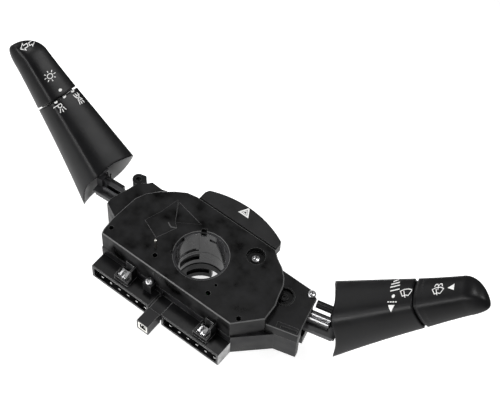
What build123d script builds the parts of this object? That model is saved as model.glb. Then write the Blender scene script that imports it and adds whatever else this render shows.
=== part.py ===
"""Combination stalk switch for a steering column, in millimetres.

+Z runs up the steering column toward the driver, +Y is up when the switch is fitted and +X is the
driver's right.  The origin is on the column's axis, at the top face of the cover.
"""
import os
from math import cos, sin, radians

from build123d import *

# ---------------------------------------------------------------- driving dimensions
bore_radius = 20.0            # hole in the top cover
tube_wall = 2.5               # wall of the column tube of the base
sleeve_inner = 18.5           # inner radius of the liner and of the cancel ring below it
seat_radius = 18.0            # seat for the column at the foot of the tube
seat_top, tube_end = -41.4, -48.0
collar_end = -60.0            # half collar below the tube
collar_radius = 18.6          # inner radius of that collar
body_depth = 40.0             # cover face to the foot of the base
cover_depth = 18.5            # height of the cover's side walls
cover_skin = 2.4
wall = 2.4                    # side walls of the base and the module covers
module_top = -9.0             # upper face of the two module covers
floor_top = -body_depth + 2.5

pivot_x, pivot_y = 63.0, 14.8     # vertical pivot of each lever carrier
module_turn = 13.2                # each module faces this much upward of sideways
left_lever_turn = -17.0           # the left lever stands this much lower than the right one
pin_reach = 8.6                   # cross pin of the lever, outward of the pivot
yoke_reach, yoke_half = 11.4, 7.4
pin_level = -22.0

neck_top = -20.2
spindle_end = 103.0
stalk_root = (98.6, 26.5, -16.8)  # middle of the right stalk's open end
stalk_azimuth, stalk_rise, stalk_roll = 26.9, 37.8, 34.7
joint_station = 72.0              # where the end cap meets the skirt, along the stalk
twist_joint_gap = 1.3             # open joint of the light knob
push_joint_gap = 2.6              # open joint of the washer cap, which closes as it is pushed
spindle_offset = 3.0              # the spindle runs this far in front of the parting plane
spindle_radius = 5.0
shell_wall = 2.0

connector_front, connector_back = -44.0, -30.5
connector_top = -26.0
tower_top = -11.6
terminal_pitch = 8.0
terminal_count = 6
terminal_width, terminal_thickness = 2.0, 0.8

running = 0.05                # radial clearance of pins and shafts


# ---------------------------------------------------------------- small helpers
def prism(points, bottom, top):
    """A straight-sided solid over a closed outline."""
    return extrude(make_face(Polyline(*points, close=True)), top - bottom).moved(Location((0, 0, bottom)))


def block(x0, x1, y0, y1, z0, z1):
    """A box given by its two corners."""
    return Location(((x0 + x1) / 2, (y0 + y1) / 2, (z0 + z1) / 2)) * Box(x1 - x0, y1 - y0, z1 - z0)


def rod(x, y, radius, bottom, top):
    """An upright cylinder."""
    return Location((x, y, (bottom + top) / 2)) * Cylinder(radius, top - bottom)


def ring(x, y, outer, inner, bottom, top):
    """An upright tube."""
    return rod(x, y, outer, bottom, top) - rod(x, y, inner, bottom - 1, top + 1)


def rod_along_x(x0, x1, y, z, radius):
    return Location(((x0 + x1) / 2, y, z), (0, 90, 0)) * Cylinder(radius, x1 - x0)


def rod_along_y(x, y0, y1, z, radius):
    return Location((x, (y0 + y1) / 2, z), (90, 0, 0)) * Cylinder(radius, y1 - y0)


def turned(angle, shape):
    """A shape turned about the column's axis."""
    return Location((0, 0, 0), (0, 0, angle)) * shape


def sector(first, last, outer, inner, bottom, top):
    """Part of an upright tube round the column's axis, between two angles."""
    far = outer * 2
    fan = [(0, 0)] + [(far * cos(radians(first + (last - first) * step / 4)),
                       far * sin(radians(first + (last - first) * step / 4))) for step in range(5)]
    return ring(0, 0, outer, inner, bottom, top) & prism(fan, bottom, top)


def strut(start, end, radius):
    """A round bar between two points."""
    way = Vector(*end) - Vector(*start)
    at = Plane(origin=start, z_dir=way)
    return at * Cylinder(radius, way.length, align=(Align.CENTER, Align.CENTER, Align.MIN))


def inset(points, distance, bottom, top):
    """A prism whose walls stand inside an outline by a distance."""
    face = make_face(Polyline(*points, close=True))
    inner = offset(face, -distance, kind=Kind.INTERSECTION)
    return extrude(inner, top - bottom).moved(Location((0, 0, bottom)))


right_module = Location((pivot_x, pivot_y, 0), (0, 0, module_turn))
pivot_axis = Axis((pivot_x, pivot_y, 0), (0, 0, 1))


def on_right(shape):
    """From the module's own frame (pivot at the origin, X outward) to the right side."""
    return right_module * shape


def on_left(shape, lever_turn=0.0):
    """The same place on the left side, with the lever turned about its pivot."""
    return mirror(on_right(shape).rotate(pivot_axis, lever_turn), about=Plane.YZ)


# ---------------------------------------------------------------- outlines
cover_outline = [(-66.5, -30.2), (49.7, -30.2), (66.0, -12.1), (65.2, 1.0), (62.6, 8.0), (59.9, 17.6),
                 (56.4, 22.6), (50.5, 28.2), (43.6, 32.2), (38.0, 36.9), (-33.6, 36.9), (-41.5, 35.2),
                 (-49.0, 30.4), (-57.3, 23.5), (-64.1, 15.7), (-67.4, 7.5), (-68.7, -15.1),
                 (-67.8, -26.5)]
base_outline = [(-67.0, -30.5), (50.8, -30.5), (72.7, -9.2), (89.2, -4.6), (81.8, 27.8), (74.0, 31.4),
                (49.0, 31.4), (40.0, 36.9), (-36.0, 36.9), (-49.0, 31.4), (-57.9, 31.4), (-61.3, 30.3),
                (-70.7, 30.7), (-73.2, 27.4), (-79.0, 22.4), (-80.6, 15.7), (-85.3, 0.0), (-84.4, -4.4),
                (-72.5, -10.3), (-69.2, -16.0)]
module_outline = [(66.6, -11.0), (72.7, -9.2), (89.2, -4.6), (81.8, 27.8), (74.0, 31.4), (49.0, 31.4),
                  (47.0, 26.0), (47.0, 4.0), (60.0, -8.0)]
left_module_outline = [(-85.3, 0.0), (-84.4, -4.4), (-72.5, -10.3), (-60.0, -8.0), (-47.0, 4.0),
                       (-47.0, 26.0), (-49.0, 31.4), (-57.9, 31.4), (-61.3, 30.3), (-70.7, 30.7),
                       (-73.2, 27.4), (-79.0, 22.4), (-80.6, 15.7)]
board_outline = [(-62.0, -27.6), (46.0, -27.6), (46.0, -24.0), (33.0, -23.6), (33.0, 30.0), (-33.0, 30.0),
                 (-33.0, -23.6), (-62.0, -24.0)]

cover_screw_place = (30.3, 23.9)
small_cover_holes = [(-64.0, -22.5, 1.8), (-25.4, -20.4, 1.9), (22.8, -20.8, 1.9), (51.6, -23.2, 1.9),
                     (23.1, -12.3, 1.2)]
ear_place = (-80.4, 26.4)
corner_screw_place = (77.2, 28.2)
horn_pin_place = (-29.2, -14.9)
pawl_place = (-33.0, 5.0)
left_connector = (-65.5, -12.6, -55.9)         # ends of the half and its first contact
right_connector = (-0.8, 51.0, 7.5)
left_tower, right_tower = -46.2, 25.9
cover_key_angle = 122.8


relief_field = [(-49.7, -2.4), (-45.4, 10.2), (-42.3, 26.0), (-31.8, 9.9), (-27.8, 6.7), (-34.1, -8.8)]
relief_triangle = [(-40.8, 25.0), (-31.8, 9.9), (-16.0, 20.1)]
relief_hook = [(-35.4, 6.5), (-31.5, 4.7), (-27.8, 6.7)]


def lever_window(turn_low, turn_high, inner):
    """The opening in the module's end wall that the lever sweeps through, in the module frame."""
    outer = 26.0
    low = outer * sin(radians(turn_low)) - 10.8
    high = outer * sin(radians(turn_high)) + 7.4
    return block(inner, 32.0, low, high, -29.6, module_top - 2.0)


# the right opening runs on through the floor at its lower end
right_window = on_right(lever_window(-18, 6, 16.0) + block(17.0, 32.0, -20.5, -13.0, -50.0, -20.0))
left_window = mirror(on_right(lever_window(-27, -7, 13.4)), about=Plane.YZ)


# ---------------------------------------------------------------- fixed body
def top_cover():
    """Cover moulding: a plate with side walls, the bore, the screw recess and shallow relief."""
    shell = prism(cover_outline, -cover_depth, 0)
    top_edges = shell.edges().group_by(Axis.Z)[-1]
    shell = chamfer(top_edges, 0.7)
    shell -= inset(cover_outline, wall, -cover_depth - 1, -cover_skin)
    # the modules enter through the side walls below their own covers
    for points in (module_outline, left_module_outline):
        shell -= inset(points, -0.05, -cover_depth - 1, module_top + 0.05)
    # shallow relief beside the bore: a raised field with a sunk triangle
    shell += prism(relief_field, -0.1, 0.3)
    shell -= prism(relief_triangle, -0.5, 1)
    for start, end in zip(relief_hook[:-1], relief_hook[1:]):
        shell += strut((*start, 0.2), (*end, 0.2), 0.4)
    screw_x, screw_y = cover_screw_place
    shell += rod(screw_x, screw_y, 8.4, -8.0, 0)
    shell -= rod(screw_x, screw_y, 6.9, -4.6, 2)
    shell -= rod(screw_x, screw_y, 2.3, -9, 0)
    shell -= rod(0, 0, bore_radius, -cover_depth - 1, 2)
    shell -= Location((0, 0, 0.4)) * Cone(bore_radius - 0.4, bore_radius + 2.0, 2.4)
    for x, y, radius in small_cover_holes:
        shell -= rod(x, y, radius, -cover_skin - 1, 2)
    for angle, depth, half in ((cover_key_angle, 2.0, 2.0), (-147.0, 1.8, 1.3)):
        shell -= turned(angle, block(bore_radius - 1, bore_radius + depth, -half, half, -3, 2))
    pin_x, pin_y = horn_pin_place
    shell -= rod(pin_x, pin_y, 1.3, -cover_skin - 1, 2)
    shell -= rod(pivot_x, pivot_y, 8.0, module_top, module_top + 2.2)
    for x in (-14.0, 2.0, 18.0):
        shell += block(x - 0.8, x + 0.8, -29.0, -27.9, -17.5, -cover_skin)
    # two small locating lugs on the front wall, over the ground screw
    for x, top in ((-17.9, -2.4), (-12.4, -3.4)):
        shell += block(x - 0.8, x + 0.8, -31.0, -29.0, top - 2.2, top)
    return shell


def base_housing():
    """Lower moulding: a tray with the column tube, carrier posts, sockets' wall and bosses."""
    tray = prism(base_outline, -body_depth, -cover_depth - 0.1)
    tray -= inset(base_outline, wall, floor_top, 0)
    tube_outer = bore_radius + running + tube_wall
    tray += rod(0, 0, tube_outer, tube_end, -cover_skin - 0.3)
    tray -= rod(0, 0, bore_radius + running, seat_top, 0)
    tray -= rod(0, 0, seat_radius, tube_end - 1, 0)
    collar = sector(104, 206, tube_outer - 1.0, collar_radius, collar_end, tube_end + 0.5)
    collar -= sector(109, 163, collar_radius + 2.0, collar_radius - 1, collar_end + 5.0, tube_end - 0.6)
    tray += collar
    for side in (1, -1):
        tray += rod(side * pivot_x, pivot_y, 2.5, floor_top - 1, -12.4)
        tray += ring(side * pivot_x, pivot_y, 7.0, 2.0, floor_top - 1, floor_top + 0.8)
    # window in the column tube for the nose of the cancel pawl
    tray -= block(-24.0, -17.0, 1.4, 8.6, -31.6, -24.4)
    screw_x, screw_y = cover_screw_place
    tray += rod(screw_x, screw_y, 4.2, floor_top - 1, -14.6)
    tray -= rod(screw_x, screw_y, 1.6, -30.0, 0)
    tray += block(screw_x - 4.2, screw_x + 4.2, screw_y + 3.6, 35.0, floor_top - 1, -20.0)
    for x, y in ((-30.6, 27.4), (14.0, 28.4), (-28.0, -23.2), (27.0, -22.4)):
        tray += rod(x, y, 1.6, floor_top - 1, -14.0)
    # opening behind each connector block, where its contacts pass
    for low, high, _ in (left_connector, right_connector):
        tray -= block(low + 3.0, high - 2.0, -31.5, -27.0, -36.4, -29.4)
    # groove over the connector, where the cover's tool parted
    tray -= block(-17.0, 15.0, -31.5, -29.9, -25.9, -25.0)
    pawl_x, pawl_y = pawl_place
    tray += rod(pawl_x, pawl_y, 1.8, floor_top - 1, -23.6)
    tray += rod(pawl_x, pawl_y, 4.0, floor_top - 1, -32.0)
    # ground screw block on the front wall
    tray += block(-23.5, -16.3, -36.4, -30.25, -23.6, -14.2)
    tray += block(-23.5, -16.3, -31.0, -28.0, -23.6, -cover_depth - 0.1)
    tray -= block(-9.7, -2.7, -31.5, -27.0, -33.0, -28.0)
    tray += block(-11.4, -9.9, -32.4, -30.4, -22.8, -21.8) + block(-11.4, -9.9, -32.4, -31.6, -25.6, -21.8)
    tray -= rod(-19.9, -33.2, 1.6, -24, -10)
    # wall of the upper rim, behind the cover's skirt, on which the cover locates
    rim = inset(cover_outline, wall + 0.15, -cover_depth - 0.2, -cover_depth + 2.4)
    rim -= inset(cover_outline, wall + 1.2, -cover_depth - 1, 0)
    for points in (module_outline, left_module_outline):
        rim -= inset(points, -1.0, -cover_depth - 1, 0)
    tray += rim & block(-70, 46, -31, -20, -30, 0)
    tray -= right_window
    tray -= left_window
    return tray


def column_sleeve():
    """Glossy liner of the bore, with slots, a sunk panel and a key rib."""
    top, bottom = -0.9, -26.0
    inner = sleeve_inner
    sleeve = ring(0, 0, bore_radius, inner, bottom, -cover_skin - 0.3)
    sleeve += ring(0, 0, bore_radius - 0.02, inner, bottom, top)
    sleeve -= sector(133, 192, inner + 0.5, inner - 1, -24.0, -3.5)
    sleeve -= sector(168, 196, inner + 3, inner - 1, -4.6, 0)
    sleeve -= turned(-163, block(inner - 2, inner + 1.0, -0.6, 0.6, -17.0, -4.0))
    sleeve -= sector(140, 188, inner + 1.0, inner - 1, -23.0, -21.4)
    sleeve -= turned(100, block(inner - 2, inner + 0.7, -3.0, 3.0, -9.5, -6.5))
    sleeve += sector(22, 48, bore_radius - 0.02, inner - 1.2, -4.4, top)
    sleeve += turned(34, block(inner - 1.1, inner + 0.4, -1.2, 1.2, bottom, -4.0))
    sleeve -= turned(cover_key_angle, block(inner - 1, inner + 3, -2, 2, -4.5, 2))
    sleeve += turned(-147, block(inner + 0.5, bore_radius + 1.2, -0.9, 0.9, -2.0, top)) & rod(0, 0, 30, -3, 0)
    return sleeve


def cancel_ring():
    """Rotor below the sleeve that turns with the steering shaft; its gaps work the cancel pawl."""
    bottom, top = seat_top + 0.3, -26.3
    rotor = ring(0, 0, bore_radius - running, sleeve_inner, bottom, top)
    for middle in (158, -22):
        rotor -= sector(middle - 26, middle + 26, 25, 10, -36.0, -28.4)
    for angle in (68, 248):
        rotor -= turned(angle, block(16, 22, -2.6, 2.6, bottom - 1, bottom + 2.2))
    return rotor


def module_cover(points, window):
    """Cover of a lever module, open toward the middle of the switch."""
    cap = prism(points, -cover_depth, module_top)
    cap = chamfer(cap.edges().group_by(Axis.Z)[-1], 0.5)
    cap -= inset(points, wall, -cover_depth - 1, module_top - 2.4)
    side = 1 if points[0][0] > 0 else -1
    near, far = sorted((side * 47.0, side * 51.0))
    cap -= block(near, far, 5.5, 27.0, -30, module_top - 2.4)
    cap -= window
    return cap


def wiper_case_cover():
    cap = module_cover(module_outline, right_window)
    screw_x, screw_y = corner_screw_place
    cap += rod(screw_x, screw_y, 3.0, -cover_depth, module_top) & prism(module_outline, -30, 0)
    cap -= rod(screw_x, screw_y, 1.3, -16, 0)
    # sunk boss over the pivot post, with a raised rim
    cap += rod(pivot_x, pivot_y, 7.6, module_top - 3.1, module_top + 0.7)
    cap -= rod(pivot_x, pivot_y, 6.5, module_top - 2.1, 0)
    cap += rod(pivot_x, pivot_y, 2.8, module_top - 2.4, module_top - 0.7)
    cap -= rod(pivot_x, pivot_y, 1.1, module_top - 1.7, 0)
    # stepped field toward the front corner
    cap -= prism([(72.6, -7.8), (87.4, -3.6), (86.6, 0.4), (71.4, -3.6)], module_top - 0.6, 0)
    cap -= prism([(75.4, -6.9), (86.9, -3.6), (86.4, -1.2), (74.8, -4.6)], module_top - 1.1, 0)
    return cap


def turn_case_cover():
    cap = module_cover(left_module_outline, left_window)
    ear_x, ear_y = ear_place
    ear = rod(ear_x, ear_y, 4.6, -cover_depth, module_top)
    ear += prism([(-82.0, 30.7), (-77.5, 32.0), (-73.2, 27.4), (-79.0, 22.4)], -cover_depth, module_top)
    cap += ear - inset(left_module_outline, wall, -20, module_top - 2.4)
    cap -= rod(ear_x, ear_y, 2.2, -20, 0)
    return cap


def hazard_case():
    """Body of the hazard switch, hung on the upper wall of the base."""
    case = block(-22.0, 28.0, 36.9, 51.0, -36.0, -14.2)
    case = chamfer(case.edges().filter_by(Axis.Z).sort_by(Axis.Y)[-2:], 4.0)
    case -= block(-19.6, 25.6, 39.3, 48.6, -33.6, -10.0)
    lid = block(-19.6, 25.6, 39.3, 48.6, -16.4, -14.2)
    lid -= block(-1.4, 7.4, 41.6, 46.4, -20, -10)
    for x in (-14.0, 20.0):
        lid -= rod(x, 44.0, 2.05, -20, -10)
    return case + lid


def hazard_outline(margin):
    """Cap outline: straight along the cover, an arc along the far side."""
    left, right, near = -32.0 + margin, 37.6 - margin, 37.5 + margin
    edges = (Polyline((left + 1.8, 47.4 - margin), (left, 44.0), (left, near), (right, near), (right, 43.4),
                      (right - 1.2, 45.4 - margin))
             + ThreePointArc((right - 1.2, 45.4 - margin), (3.4, 53.8 - margin), (left + 1.8, 47.4 - margin)))
    return make_face(edges)


def hazard_button():
    """Wide hazard push cap: a hollow shell with a stem and two guide pins."""
    cap = extrude(hazard_outline(0), 9.0).moved(Location((0, 0, -9.6)))
    cap = fillet(cap.edges().group_by(Axis.Z)[-1], 1.0)
    cap -= extrude(hazard_outline(1.8), 7.2).moved(Location((0, 0, -9.6)))
    cap += block(-1.0, 7.0, 42.0, 46.0, -27.0, -2.0)
    for x in (-14.0, 20.0):
        cap += rod(x, 44.0, 2.0, -18.0, -2.0)
    return cap


def hazard_spring():
    return ring(3.0, 44.0, 3.4, 2.4, -33.6, -27.4)


def hazard_contact():
    """Two brass contact blades on the floor of the hazard case."""
    blades = block(-12.0, -6.0, 42.4, 45.6, -33.6, -32.8)
    blades += block(12.0, 18.0, 42.4, 45.6, -33.6, -32.8)
    return blades


# ---------------------------------------------------------------- connectors and board
def terminal_places(first):
    return [first + terminal_pitch * index for index in range(terminal_count)]


def connector_shroud(low, high, first, tower_x):
    """Half of the main connector: a socket open to the front, with a latch tower on top."""
    shroud = block(low, high, connector_front, connector_back, -body_depth, connector_top)
    shroud = chamfer(shroud.edges().filter_by(Axis.X).group_by(Axis.Z)[-1].sort_by(Axis.Y)[0:1], 0.5)
    shroud -= block(low + 1.8, high - 1.8, connector_front - 1, connector_back - 2.6, -38.2, -27.8)
    # latch tower: a tray with a tall back wall and a tall wall on its right
    right = tower_x + 12.2
    tower = block(tower_x, right, -41.4, connector_back, connector_top - 0.5, -21.6)
    tower += block(right - 8.4, right, -31.9, connector_back, connector_top - 0.5, tower_top)
    tower += block(right - 1.3, right, -37.0, connector_back, connector_top - 0.5, tower_top)
    tower -= block(tower_x + 1.2, right - 1.3, -40.2, -31.9, -24.6, -10)
    shroud += tower
    half = terminal_width / 2
    for x in terminal_places(first):
        shroud -= block(x - half, x + half, -35.0, -29.0, -33.45, -32.55)
    return shroud


def terminals(first):
    """Tinned blades that run from the socket to the circuit board."""
    half = terminal_width / 2
    blades = Part()
    for x in terminal_places(first):
        blades += block(x - half, x + half, -43.6, -25.6, -33.4, -33.4 + terminal_thickness)
        blades += block(x - half, x + half, -25.6 - terminal_thickness, -25.6, -33.4, -11.0)
    return blades


def latch_clips(tower_x):
    """Sprung clip that holds the mating plug, seated in the latch tower."""
    clip = block(tower_x + 1.6, tower_x + 9.0, -39.8, -33.4, -24.6, -23.8)
    clip += block(tower_x + 1.6, tower_x + 9.0, -34.2, -33.4, -24.6, -20.6)
    clip += block(tower_x + 2.6, tower_x + 5.0, -39.8, -39.0, -24.6, -19.4)
    clip += block(tower_x + 6.4, tower_x + 9.0, -39.8, -39.0, -24.6, -20.4)
    clip += block(tower_x + 2.6, tower_x + 4.0, -39.8, -33.4, -21.4, -20.6)
    clip += Location((tower_x + 7.6, -36.8, -21.2), (24, 0, 0)) * Box(2.2, 6.4, 0.8)
    return clip


def horn_connector():
    """Small two-way socket between the halves of the main connector."""
    shell = block(-11.2, -1.2, -58.0, -44.6, -36.0, -25.0)
    shell += block(-11.2, -1.2, -44.6, connector_back, -34.0, -26.4)
    shell -= block(-10.4, -2.0, -59.0, -47.0, -35.2, -25.8)
    shell -= block(-8.6, -3.8, -48.0, -29.0, -32.6, -28.4)
    return shell


def horn_connector_insert():
    insert = block(-10.35, -2.05, -57.7, -47.05, -35.15, -25.85)
    insert -= block(-8.9, -3.5, -59.0, -54.6, -33.5, -27.5)
    for x in (-7.6, -4.8):
        insert -= block(x - 0.45, x + 0.45, -56, -46, -31.05, -29.95)
    return insert


def horn_terminals():
    pins = None
    for x in (-7.6, -4.8):
        pin = block(x - 0.4, x + 0.4, -57.2, -28.4, -31.0, -30.0)
        pins = pin if pins is None else pins + pin
    return pins


def main_board():
    """Circuit board round the column tube, which the contacts rise to."""
    board = prism(board_outline, -14.0, -12.4)
    board -= rod(0, 0, 24.0, -20, 0)
    screw_x, screw_y = cover_screw_place
    board -= rod(screw_x, screw_y, 5.0, -20, 0)
    slot_half = terminal_width / 2 + 0.1
    for *_, first in (left_connector, right_connector):
        for x in terminal_places(first):
            board -= block(x - slot_half, x + slot_half, -26.5, -25.5, -20, 0)
    pin_x, pin_y = horn_pin_place
    board -= rod(pin_x, pin_y, 3.1, -20, 0)
    return board


def cross_screw(x, y, head_top, head_radius, shank_radius, length, slotted):
    """Pan-head screw with a cross or a single slot."""
    screw = rod(x, y, head_radius, head_top - 2.4, head_top)
    screw = fillet(screw.edges().group_by(Axis.Z)[-1], 0.9)
    screw += rod(x, y, shank_radius, head_top - 2.4 - length, head_top - 2.2)
    screw -= block(x - 0.5, x + 0.5, y - head_radius, y + head_radius, head_top - 1.3, head_top + 1)
    if not slotted:
        screw -= block(x - head_radius, x + head_radius, y - 0.5, y + 0.5, head_top - 1.3, head_top + 1)
    return screw


def horn_brush():
    """Sprung contact pin that bears on the slip ring of the steering wheel."""
    x, y = horn_pin_place
    pin = rod(x, y, 1.0, -13.0, 9.4)
    pin = fillet(pin.edges().group_by(Axis.Z)[-1], 0.5)
    return pin + rod(x, y, 1.9, -8.0, -6.6)


def horn_brush_holder():
    x, y = horn_pin_place
    holder = rod(x, y, 2.9, -18.0, -cover_skin) - rod(x, y, 2.0, -12.2, 0)
    return holder - rod(x, y, 1.0 + running, -17.0, 0)


def horn_brush_spring():
    x, y = horn_pin_place
    return ring(x, y, 1.9, 1.2, -12.2, -8.0)


# ---------------------------------------------------------------- lever modules, in the module frame
def carrier():
    """Die-cast carrier: pivot hub, two cheeks for the lever's cross pin and the detent barrel."""
    cheek_inner = yoke_half - 2.0
    body = rod(0, 0, 5.0, -35.4, -13.2)
    body += block(-8.0, yoke_reach, -yoke_half, yoke_half, -34.4, -31.4)
    for side in (1, -1):
        near, far = sorted((side * cheek_inner, side * yoke_half))
        body += block(3.0, yoke_reach, near, far, -34.0, -16.4)
    body += rod_along_x(-18.4, -3.0, 0, pin_level, 4.0)
    body -= rod_along_x(-20.0, -6.4, 0, pin_level, 2.45)
    body -= rod(0, 0, 2.5 + running, -40, 0)
    body -= rod_along_y(pin_reach, -10, 10, pin_level, 2.0)
    return body


def detent_plunger():
    nose = Location((-17.6, 0, pin_level)) * Sphere(2.4)
    return rod_along_x(-17.6, -10.0, 0, pin_level, 2.4) + nose


def plunger_spring():
    return rod_along_x(-9.9, -6.5, 0, pin_level, 2.2) - rod_along_x(-10, -6, 0, pin_level, 1.5)


def detent_track(notch_angles):
    """Curved track with a notch for each lever position."""
    face_radius = 20.6
    track = ring(0, 0, 24.4, face_radius, floor_top, -17.6)
    sector = prism([(0, 0), (-30, -21), (-30, 21)], -40, 0)
    track = track & sector
    for angle in notch_angles:
        groove = rod(-face_radius - 0.6, 0, 1.9, -27.0, -16)
        track -= Location((0, 0, 0), (0, 0, angle)) * groove
    return track


def lever_pin():
    return rod_along_y(pin_reach, -yoke_half - 0.4, yoke_half + 0.4, pin_level, 2.0)


stalk_plane_x = (cos(radians(stalk_azimuth)) * cos(radians(stalk_rise)),
                 sin(radians(stalk_azimuth)) * cos(radians(stalk_rise)),
                 sin(radians(stalk_rise)))
side_way = Vector(-sin(radians(stalk_azimuth)), cos(radians(stalk_azimuth)), 0)
axis_way = Vector(*stalk_plane_x)
up_way = axis_way.cross(side_way)
width_way = side_way * cos(radians(stalk_roll)) + up_way * sin(radians(stalk_roll))
face_way = axis_way.cross(width_way)


def station_plane(station):
    """Cross-section plane of the stalk: X across its width, Y out of its front face."""
    centre = Vector(*stalk_root) + axis_way * station
    return Plane(origin=centre, x_dir=width_way, z_dir=axis_way)


plan_plane = Plane(origin=Vector(*stalk_root), x_dir=axis_way, z_dir=face_way)


def spindle(start, end, radius):
    """A cylinder round the spindle's axis between two stations."""
    plane = station_plane(start)
    centre = plane.origin + face_way * spindle_offset
    at = Plane(origin=centre, x_dir=width_way, z_dir=axis_way)
    return at * Cylinder(radius, end - start, align=(Align.CENTER, Align.CENTER, Align.MIN))


def stalk_section(station, low, high, crest, belly):
    """Almond section: a crowned front with an off-centre crest, a shallow back."""
    half = (high - low) / 2
    middle = (high + low) / 2
    crown = [(-1.0, 0.0), (-0.78, 0.40), (-0.42, 0.80), (-0.17, 0.975), (-0.06, 1.0), (0.06, 0.965),
             (0.45, 0.68), (0.76, 0.36), (1.0, 0.0)]
    front = Spline(*[(middle + half * u, crest * v) for u, v in crown])
    back = ThreePointArc((high, 0), (middle, -belly), (low, 0))
    return station_plane(station) * make_face(front + back)


joint_section = (-16.6, 16.7, 12.5, 6.4)
skirt_stations = [(-14.0, -27.2, 28.8, 19.6, 10.8), (12.0, -23.4, 25.0, 17.6, 9.4),
                  (42.0, -19.6, 20.9, 14.9, 7.8), (joint_station - 0.4, *joint_section)]
cap_stations = [(joint_station, *joint_section), (88.2, -14.9, 14.7, 11.1, 5.6),
                (104.5, -13.6, 13.0, 9.7, 4.9)]
tip_reach = 16.3
tip_drift = -7.0              # the rounded tip leans this far toward the lower edge


def tip_stations():
    """Sections that close the cap in an elliptic dome, leaning toward its lower edge."""
    start, low, high, crest, belly = cap_stations[-1]
    stations = [cap_stations[-1]]
    for step in range(1, 8):
        turn = radians(step * 86.0 / 7)
        shrink = cos(turn)
        drift = tip_drift * (1 - shrink)
        stations.append((start + tip_reach * sin(turn), drift + low * shrink ** 0.8, drift + high * shrink,
                         crest * shrink ** 0.9, belly * shrink))
    return stations


def stalk_solid(stations, inward=0.0):
    sections = [stalk_section(s, low + inward, high - inward, crest - inward, belly - inward * 0.9)
                for s, low, high, crest, belly in stations]
    return loft(sections)


def root_cut(points):
    """A cutter that ends a skirt half along a curve drawn in the parting plane."""
    edge = Spline(*points)
    (first_s, first_w), (last_s, last_w) = points[0], points[-1]
    back = Polyline((last_s, last_w), (-40, last_w + 8), (-40, first_w - 8), (first_s, first_w))
    face = plan_plane * make_face(edge + back)
    return extrude(face, 40, both=True)


front_edge = [(-12.0, -31.5), (-7.2, -26.4), (1.0, -19.5), (5.6, -13.0), (8.6, 0.0), (10.4, 12.0),
              (8.8, 20.0), (6.6, 26.2), (4.6, 31.0)]
back_edge = [(-12.0, -31.5), (-7.2, -26.4), (-3.6, -13.0), (-2.6, 0.0), (0.8, 14.0), (6.6, 26.2),
             (9.6, 31.0)]


def skirt_halves(cap_gap):
    """Hollow flared skirt in two halves, joined round the spindle by a web at the joint."""
    end = joint_station - cap_gap
    outer = stalk_solid(skirt_stations)
    inner = stalk_solid([(-18.0, -27.8, 29.4, 20.0, 11.2)] + skirt_stations[1:], shell_wall)
    outer -= spindle(end, end + 20, 60)
    web_start = end - 5.0
    inner -= spindle(web_start, web_start + 30, 60)
    shell = outer - inner
    for station in (20.0, 44.0):
        ring_web = (spindle(station, station + 1.6, 60) & outer) - spindle(station - 1, station + 3, 7.5)
        shell += ring_web
    shell -= spindle(-30, 100, spindle_radius + 0.02)
    halfspace = plan_plane * Location((60, 0, 30)) * Box(240, 120, 60)
    front = (shell & halfspace) - root_cut(front_edge)
    back = (shell - halfspace) - root_cut(back_edge)
    return front, back


def lever_arm(plate_edge):
    """Moulded arm: pin eye, neck, flat plate, and the spindle that carries the skirt and the end cap."""
    neck = block(pin_reach, 30.0, -5.0, 5.0, -25.3, neck_top) + block(12.4, 30.0, -5.0, 5.0, -28.0, -25.0)
    neck += rod_along_y(pin_reach, -5.0, 5.0, pin_level, 3.3)
    neck += block(19.0, 41.0, plate_edge, -2.0, -24.6, neck_top)
    neck += block(17.0, 40.0, -0.6, 1.7, neck_top - 2.0, -14.0)
    neck += block(30.0, 43.0, plate_edge, 4.0, -23.0, neck_top)
    neck += block(38.7, 43.5, -3.0, 4.0, -21.5, -11.0)
    neck = on_right(neck)
    neck += spindle(7.0, spindle_end, spindle_radius)
    neck -= spindle(spindle_end - 8.0, spindle_end + 1, 3.2)
    neck -= on_right(rod_along_y(pin_reach, -12, 12, pin_level, 2.0 + running))
    return neck


def lever_bracket():
    """Pressed steel channel along the neck, flanges upward."""
    channel = block(16.0, 36.0, -5.6, -0.6, neck_top, -14.4)
    channel -= block(10.0, 40.0, -4.5, -1.7, neck_top + 0.9, -10)
    return on_right(channel)


def wiper_wire_cover():
    """Black sheath of the stalk's wires, from the module into the skirt."""
    duct = block(22.8, 37.0, 2.4, 7.4, -12.2, -6.6)
    duct = fillet(duct.edges().filter_by(Axis.X), 1.9)
    duct += block(34.6, 37.0, 1.7, 5.0, neck_top, -10.0)
    return on_right(duct)


def turn_wire_cover():
    """Black guide of the stalk's wires, with the forked clip that holds them."""
    guide = block(23.4, 38.2, 1.7, 4.7, neck_top, -14.0)
    guide = fillet(guide.edges().filter_by(Axis.X).group_by(Axis.Z)[-1], 0.8)
    guide += block(33.6, 38.2, 1.7, 3.7, -14.4, -12.6)
    guide += strut((36.9, 2.7, -13.5), (38.3, 3.1, -7.8), 0.7)
    guide += strut((35.4, 2.7, -13.5), (35.2, 3.5, -7.8), 0.7)
    return on_right(guide)


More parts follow.
